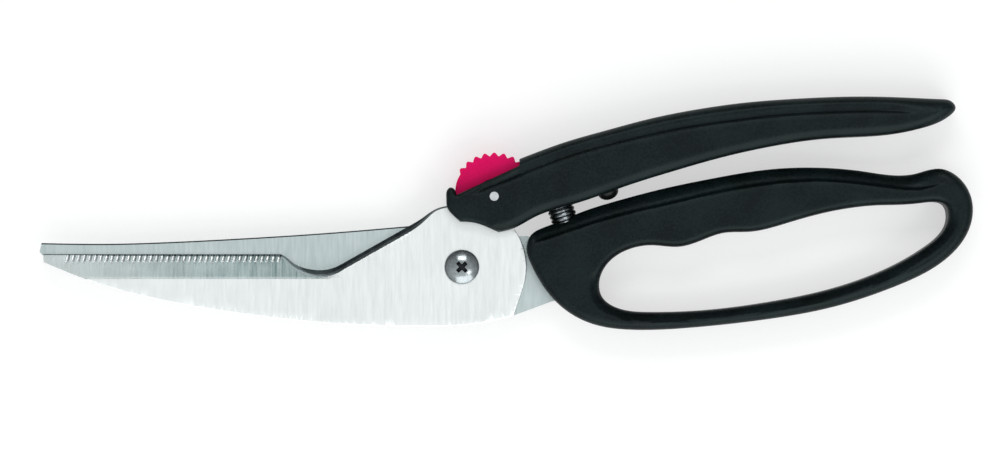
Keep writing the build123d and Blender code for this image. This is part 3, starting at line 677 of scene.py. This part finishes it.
shells = {}
for half, sign in (("front", 1), ("rear", -1)):
    face = upper_face if sign > 0 else mirrored(upper_face)
    holes = [circle(PIN, PIN_HOLE_R)]
    if sign < 0:
        holes += holes_at("upper_case_screws", CASE_HEAD_HOLE_R)
    shells["upper_" + half] = plate(
        f"upper_handle_{half}", [UPPER_OUTLINE, *holes], face, MID, EDGE_INSETS,
        seeds=beside(UPPER_RIDGE, RIDGE_OFFSETS), lip=0.15, materials=[BLACK],
    )
    face = loop_face if sign > 0 else mirrored(loop_face)
    holes = holes_at("loop_case_screws", CASE_HEAD_HOLE_R) if sign < 0 else []
    shells["loop_" + half] = plate(
        f"loop_handle_{half}", [LOOP_OUTLINE, LOOP_HOLE, *holes], face, MID, EDGE_INSETS,
        seeds=beside(LOOP_RIDGE, RIDGE_OFFSETS), lip=0.15, materials=[BLACK],
    )

slot_cut = cutter("slot_cut", ring_of(
    arc(PIN, SLOT_HUB_R, SLOT_FIRST, SLOT_LAST)[::-1], arc(PIN, SLOT_RIM_R, SLOT_FIRST, 158),
    spline([
        arc(PIN, radius, angle - 1, angle)[-1]
        for radius, angle in ((SLOT_RIM_R, 158), (11.5, 172), (11.1, 186), (10.9, SLOT_LAST))
    ]),
), SLOT_LOW, SLOT_HIGH)
heel_cut = cutter("heel_cut", ring_of(arc((0, 0), HEEL_SWEEP_R, 0, 360)[:-1]), HEEL_LOW, MID + 0.05)
upper_pocket = tube_cutter("upper_pocket", SPRING_MID, SPRING_UP, POCKET_R, UPPER_POCKET)
lower_pocket = tube_cutter("lower_pocket", SPRING_MID, -SPRING_UP, POCKET_R, LOWER_POCKET)
cut(shells["upper_front"], slot_cut, upper_pocket)
cut(shells["upper_rear"], slot_cut, upper_pocket, heel_cut)
cut(shells["loop_front"], lower_pocket)
cut(shells["loop_rear"], lower_pocket)
remove(slot_cut, heel_cut, upper_pocket, lower_pocket)
for key, obj in shells.items():
    which, half = key.split("_")
    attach(obj, f"{which}_side")
    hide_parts(f"{which}_{half}_shell")

# ---------------------------------------------------------------- blades
BLADE_T, SCREW_HOLE_R = 2.5, 2.55
FRONT_LOW, FRONT_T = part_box("front_blade")[0][2] / MM, BLADE_T
REAR_LOW, REAR_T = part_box("rear_blade")[0][2] / MM, BLADE_T
EDGE_Y, GRIND_W, EDGE_LEFT = 3.4, 6.6, 0.4
NOTCH = np.vstack([
    spline([(-48.9, EDGE_Y), (-47.3, 2.75), (-45.0, 0.95), (-42.5, -0.2), (-38.3, -0.85), (-35.2, -0.5),
            (-32.5, 0.6)], start=(1, 0), end=(0.87, 0.49), step=0.3),
    straight((-32.5, 0.6), (-14.0, 11.05)),
    spline([(-14.0, 11.05), (-10.9, 12.9), (-8.7, 14.5), (-6.4, 15.75), (-3.7, 16.4)], start=(0.87, 0.49)),
])
BLADE_EDGE = straight((-112.2, EDGE_Y), (-48.9, EDGE_Y), step=0.25)
HEEL = np.vstack([
    arc((0, 0), 17.3, 35.4, -20.6), straight((16.2, -6.1), (13.8, -13.1)),
])
BELLY = spline([(13.8, -13.1), (3.6, -15.3), (-8.7, -15.9), (-27.1, -15.6), (-51.5, -13.6), (-65.8, -11.6),
                (-80.1, -9.0), (-94.5, -5.4), (-112.0, 1.3)])
FRONT_OUTLINE = ring_of(
    BLADE_EDGE, NOTCH,
    straight((-3.7, 16.4), (-3.0, 15.3), (4.6, 15.3)), arc(PIN, 4.2, 215, 60),
    straight((12.4, 20.4), (21.0, 25.0), (27.5, 28.6), (48.0, 33.4), (48.0, 28.6), (27.5, 23.0),
             (21.0, 21.0), (17.8, 16.8), (13.6, 12.4)),
    HEEL, BELLY, straight((-112.0, 1.3), (-112.2, EDGE_Y)),
)
SERRATION_PITCH, SERRATIONS, FIRST_SERRATION = 1.49, 39, -105.45


BEVEL_SHADOW_SHARE = 0.55  # the share of the bevel's width, from the edge, that gets painted shadow


def notch_bevel(x):
    """The width of the bevel that follows the bone notch."""
    widened = 1.1 * smoothstep(-48.0, -41.0, x) - 0.4 * smoothstep(-37.0, -31.0, x)
    return 0.85 + widened - 1.05 * smoothstep(-15.0, -6.0, x)


def serration(x, y):
    """0 along the middle of a serration, 1 half way to the next one and outside the row."""
    phase = (x - FIRST_SERRATION - 0.22 * (y - EDGE_Y)) / SERRATION_PITCH
    row = (phase > -0.5) & (phase < SERRATIONS - 0.5)
    return np.where(row, np.abs(phase - np.round(phase)) * 2, 1)


def follow(line, width, share):
    """Points to the right of an open line, at a share of a width that varies along it."""
    return line - left_of(line) * (share * width(line[:, 0]))[:, None]


def front_face(points):
    """Heights of the front blade's front: its ground zone, serrations, bevel and rounded belly."""
    x, y = points.T
    t = np.clip((EDGE_Y - y) / GRIND_W, 0, 1)
    ground = EDGE_LEFT + (FRONT_T - EDGE_LEFT) * t**0.9
    ground += (FRONT_T - ground) * smoothstep(-41.0, -33.0, x)
    tooth = serration(x, y)
    ground = ground - 0.14 * (1 - smoothstep(0.1, 0.8, tooth)) * (1 - smoothstep(1.5, 2.1, EDGE_Y - y))
    d_notch, _ = distance(points, NOTCH, closed=False)
    width = notch_bevel(x)
    bevel = FRONT_T - 1.05 * np.clip(1 - d_notch / width, 0, 1)
    rest = np.minimum(distance(points, HEEL, closed=False)[0], distance(points, BELLY, closed=False)[0])
    return FRONT_LOW + np.minimum(np.minimum(ground, bevel), FRONT_T - roll(rest, 0.25, 0.25))


def front_zone(points):
    """1 painted shade in the ground zone, 2 painted shadow along the edges, 3 painted light and shade in
    the serrations, 4 painted shade on the notch bevel's inner part.
    """
    x, y = points.T
    # the width of the painted shadow strip along the cutting edge, narrower towards the tip
    line = 0.2 + 0.3 * smoothstep(-112.0, -80.0, x)
    zone = np.where((x < -33.0) & (y > EDGE_Y - GRIND_W), 1, 0)
    zone = np.where((serration(x, y) < 0.42) & (EDGE_Y - y < 2.0), 3, zone)
    d_notch, _ = distance(points, NOTCH, closed=False)
    width = notch_bevel(x)
    zone = np.where(d_notch < width, 4, zone)
    return np.where((d_notch < BEVEL_SHADOW_SHARE * width) | ((x < -45.0) & (EDGE_Y - y < line)), 2, zone)


teeth_x = np.arange(-112.0, -48.0, 0.2)
tooth_seeds = [np.array([(x, EDGE_Y - d) for x in teeth_x]) for d in (0.2, 0.4, 0.7, 1.05, 1.4, 1.75, 2.1)]
crease = straight((-101.0, EDGE_Y - GRIND_W), (-36.0, EDGE_Y - GRIND_W))
crease_seeds = [crease, crease + (0, -0.15), crease + (0, 0.2)]
BEVEL_SHARES = (0.15, 0.35, BEVEL_SHADOW_SHARE - 0.03, BEVEL_SHADOW_SHARE + 0.03, 0.75, 0.97, 1.03)
bevel_seeds = [follow(NOTCH, notch_bevel, share) for share in BEVEL_SHARES]
front_blade = plate(
    "front_blade_steel", [FRONT_OUTLINE, circle((0, 0), SCREW_HOLE_R)], front_face,
    lambda points: np.full(len(points), FRONT_LOW),
    [0.04, 0.1, 0.18, 0.26], seeds=tooth_seeds + crease_seeds + bevel_seeds, grid=2.5,
    materials=[FRONT_STEEL, GROUND_SHADE_STEEL, EDGE_SHADOW_STEEL, SCALLOP_SHADE_STEEL, BEVEL_SHADE_STEEL], zone=front_zone,
)
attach(front_blade, "upper_side")
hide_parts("front_blade")

SPINE = np.vstack([
    spline([(-112.7, 6.4), (-94.6, 6.2), (-80.1, 6.6), (-56.3, 7.8), (-35.0, 9.2), (-12.5, 11.1)]),
    spline([(-12.5, 11.1), (-9.5, 10.4), (-6.0, 8.25)], start=(1, 0.05), end=(0.8, -0.6)),
])
REAR_NECK_R = 10.2  # the arc on either side of the lock tooth
REAR_EDGE = straight((-37.6, -4.4), (-112.2, 2.9), step=1.0)
REAR_OUTLINE = ring_of(
    SPINE, arc((0, 0), REAR_NECK_R, 126, 103.1),
    straight((-2.3, 9.95), (-2.3, 12.0), (-1.8, 12.4), (-0.3, 12.4), (-0.3, 10.2)),
    arc((0, 0), REAR_NECK_R, 91.6, 51.9),
    straight((6.3, 8.03), (17.5, 8.3), (20.6, 7.2), (23.2, 7.0), (27.0, -2.8), (33.0, -3.8), (33.0, -10.2),
             (26.6, -8.6), (23.9, -9.3), (13.9, -13.0)),
    spline([(13.9, -13.0), (4.0, -13.6), (-10.0, -11.0), (-24.0, -6.6), (-37.6, -4.4)],
           start=(-1, -0.2), end=(-74.6, 7.3)),
    REAR_EDGE, straight((-112.2, 2.9), (-113.2, 4.0), (-112.7, 6.4)),
)
REAR_GRIND, REAR_EDGE_LEFT, SPINE_BEVEL = 3.0, 0.45, 0.35


def rear_zone(points):
    """1 along the spine, where painted shadow goes, 0 elsewhere."""
    return np.where(distance(points, SPINE, closed=False)[0] < 0.34, 1, 0)


def rear_front_face(points):
    """Heights of the rear blade's front, with a fine bevel along the spine."""
    d, _ = distance(points, SPINE, closed=False)
    return REAR_LOW + REAR_T - SPINE_BEVEL * np.clip(1 - d / SPINE_BEVEL, 0, 1)


def rear_back_face(points):
    """Heights of the rear blade's back, ground thin towards the cutting edge."""
    d, _ = distance(points, REAR_EDGE, closed=False)
    return REAR_LOW + (REAR_T - REAR_EDGE_LEFT) * np.clip(1 - d / REAR_GRIND, 0, 1)


rear_blade = plate(
    "rear_blade_steel", [REAR_OUTLINE, circle((0, 0), 2.5)], rear_front_face, rear_back_face,
    [0.05, 0.12, 0.2, 0.35, 0.6, 1.2, 2.1, 3.0], grid=3.0, materials=[REAR_STEEL, EDGE_SHADOW_STEEL],
    zone=rear_zone,
)
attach(rear_blade, "loop_side")
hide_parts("rear_blade")

# ---------------------------------------------------------------- opening spring
WIRE_R, COIL_R, TURNS = 0.56, 3.07, 14.5
RING, PER_TURN = 10, 30
vertices, faces = [], []
steps = int(TURNS * PER_TURN)
side = np.array([SPRING_UP[1], -SPRING_UP[0]])
for i in range(steps + 1):
    angle = 2 * math.pi * i / PER_TURN
    s = SPRING_LOW + WIRE_R + (SPRING_HIGH - SPRING_LOW - 2 * WIRE_R) * i / steps
    for k in range(RING):
        turn = 2 * math.pi * k / RING
        r = COIL_R + WIRE_R * math.cos(turn)
        along = s + WIRE_R * math.sin(turn)
        x, y = SPRING_MID + SPRING_UP * along + side * r * math.cos(angle)
        vertices.append((x, y, MID + r * math.sin(angle)))
    if i:
        a, b = (i - 1) * RING, i * RING
        faces += [(a + k, a + (k + 1) % RING, b + (k + 1) % RING, b + k) for k in range(RING)]
faces += [tuple(range(RING))[::-1], tuple(range(steps * RING, steps * RING + RING))]
spring = as_object("opening_spring_coil", vertices, faces, [WIRE])


def in_frame(x, y, z):
    """A place about the pivot in the frame's own metres."""
    return ((x + PIVOT[0]) * MM, (y + PIVOT[1]) * MM, z * MM)


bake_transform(spring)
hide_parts("opening_spring")

# ---------------------------------------------------------------- pivot screw and bumper
HEAD_Z = FRONT_LOW + FRONT_T + 0.05
HEAD_R, HEAD_RIM, DOME_RISE = 4.65, 0.55, 1.5
DOME_R = (HEAD_R**2 + DOME_RISE**2) / (2 * DOME_RISE)
SHANK_R, SHANK_END = 2.5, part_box("pivot_screw")[0][2] / MM
CROSS_DEPTH = 1.5


def cross(points):
    """1 in the cross recess, falling to 0 at its walls."""
    u, v = (points @ np.array([[1, 1], [1, -1]]) / math.sqrt(2)).T
    arms = [
        (1 - smoothstep(0.3, 0.5, np.abs(b))) * (1 - smoothstep(1.25, 1.75, np.abs(a)))
        for a, b in ((u, v), (v, u))
    ]
    return np.maximum(*arms)


def screw_top(points):
    """Heights of the screw's dome, with its recess."""
    r = np.linalg.norm(points, axis=1)
    dome = np.sqrt(np.maximum(DOME_R**2 - r**2, 0)) - (DOME_R - DOME_RISE)
    edge = roll(HEAD_R - r, 0.35, 0.3)
    return HEAD_Z + HEAD_RIM + dome - edge - CROSS_DEPTH * cross(points)


def screw_bottom(points):
    """Heights of the screw's underside: the shank's end and the head's flat."""
    return np.where(np.linalg.norm(points, axis=1) < SHANK_R - 0.02, SHANK_END, HEAD_Z)


fine_grid = np.array([(x, y) for x in np.arange(-2, 2.01, 0.1) for y in np.arange(-2, 2.01, 0.1)])
pivot_screw = plate(
    "pivot_screw_domed", [circle((0, 0), HEAD_R)], screw_top, screw_bottom,
    [0.06, 0.14, 0.24, 0.34, 0.7, 1.2, 1.7, HEAD_R - SHANK_R - 0.005, HEAD_R - SHANK_R + 0.025, 2.4],
    seeds=[fine_grid], grid=0.4, materials=[SCREW, RECESS],
    # the cross recess takes the painted shade
    zone=lambda points: np.where(cross(points) > 0.25, 1, 0),
)
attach(pivot_screw, "loop_side")
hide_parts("pivot_screw")

BUMPER = np.array([39.2, 20.1])
BUMPER_LEAN = math.radians(19)
BUMPER_UP = np.array([-math.sin(BUMPER_LEAN), math.cos(BUMPER_LEAN)])
BUMPER_SIDE = np.array([BUMPER_UP[1], -BUMPER_UP[0]])
BUMPER_R, BUMPER_OUT, BUMPER_SINK, STEM_R, STEM = 2.8, 2.1, 0.3, 1.4, 3.6
profile = [
    (BUMPER_R * math.sin(t), -BUMPER_OUT * math.cos(t))
    for t in np.linspace(0.06, math.pi / 2, 12)
]
profile += [(BUMPER_R, BUMPER_SINK), (STEM_R, BUMPER_SINK + 0.05), (STEM_R, STEM)]
AROUND = 36
vertices, faces = [], []
for r, s in profile:
    for k in range(AROUND):
        angle = 2 * math.pi * k / AROUND
        x, y = BUMPER + BUMPER_UP * s + BUMPER_SIDE * r * math.cos(angle)
        vertices.append((x, y, MID + r * math.sin(angle)))
for i in range(len(profile) - 1):
    a, b = i * AROUND, (i + 1) * AROUND
    faces += [(a + k, a + (k + 1) % AROUND, b + (k + 1) % AROUND, b + k) for k in range(AROUND)]
faces += [tuple(range(AROUND))[::-1], tuple(range(len(vertices) - AROUND, len(vertices)))]
bumper = as_object("stop_bumper_dome", vertices, faces, [RUBBER])
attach(bumper, "upper_side")
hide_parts("stop_bumper")

# ---------------------------------------------------------------- edges of the kept CAD pieces
for name, width in (("lock_lever", 0.25), ("lock_pin", 0.2), ("pivot_nut", 0.15)):
    modifier = frame["nodes"][name].modifiers.new("edge", "BEVEL")
    modifier.width, modifier.segments, modifier.limit_method = width * MM, 2, "ANGLE"
    modifier.angle_limit = math.radians(40)

# ---------------------------------------------------------------- floor, light, camera
floor_mat = material(
    "floor", (0.48, 0.48, 0.48), 0.9, Specular_IOR_Level=0.1, Emission_Strength=0.54,
    Emission_Color=(1.0, 1.0, 1.0, 1.0),
)[0]
bpy.ops.mesh.primitive_plane_add(size=6.0, location=(0, 0, -0.0001))
floor = bpy.context.object
floor.name = "floor"
floor.data.materials.append(floor_mat)

# A bright ceiling that falls off to the far side and to the horizon
world = bpy.data.worlds.new("studio")
bpy.context.scene.world = world
world.use_nodes = True
sky = world.node_tree
direction = node(sky, "ShaderNodeTexCoord").outputs["Generated"]
parts = node(sky, "ShaderNodeSeparateXYZ")
sky.links.new(direction, parts.inputs["Vector"])
across = spread(sky, parts.outputs["Y"], 1.1, 0.35, -0.75, 0.75)
height = spread(sky, parts.outputs["Z"], 0.25, 1.12, 0.1, 0.8)
strength = node(sky, "ShaderNodeMath", operation="MULTIPLY")
sky.links.new(across, strength.inputs[0])
sky.links.new(height, strength.inputs[1])
sky.nodes["Background"].inputs["Color"].default_value = (0.97, 0.99, 1.0, 1)
sky.links.new(strength.outputs[0], sky.nodes["Background"].inputs["Strength"])


def softbox(name, place, size, power):
    """A rectangular light that points at the origin."""
    light = bpy.data.lights.new(name, "AREA")
    light.shape, light.size, light.size_y = "RECTANGLE", size[0], size[1]
    light.energy = power
    obj = bpy.data.objects.new(name, light)
    obj.location = place
    toward = Vector((0, 0, 0)) - Vector(place)
    obj.rotation_euler = toward.to_track_quat("-Z", "Y").to_euler()
    bpy.context.scene.collection.objects.link(obj)


softbox("light_below", (0.2, -1.1, 0.75), (1.4, 0.9), 8.0)
softbox("light_high", (0.0, 0.69, 0.98), (0.62, 0.3), 3.2)
softbox("light_right", (0.5, -0.4, 0.9), (0.25, 0.2), 0.9)

VIEW_W = 268.0  # width of the picture at the handles' height
VIEW_X, VIEW_Y = 10.2, 9.5  # its middle
LENS, SENSOR = 200.0, 36.0
camera = bpy.data.objects.new("camera", bpy.data.cameras.new("camera"))
camera.data.lens, camera.data.sensor_width = LENS, SENSOR
camera.data.clip_start, camera.data.clip_end = 0.01, 20
camera.location = in_frame(VIEW_X, VIEW_Y, LENS * VIEW_W / SENSOR + MID)
bpy.context.scene.collection.objects.link(camera)
bpy.context.scene.camera = camera
bpy.context.scene.view_settings.view_transform = "Standard"
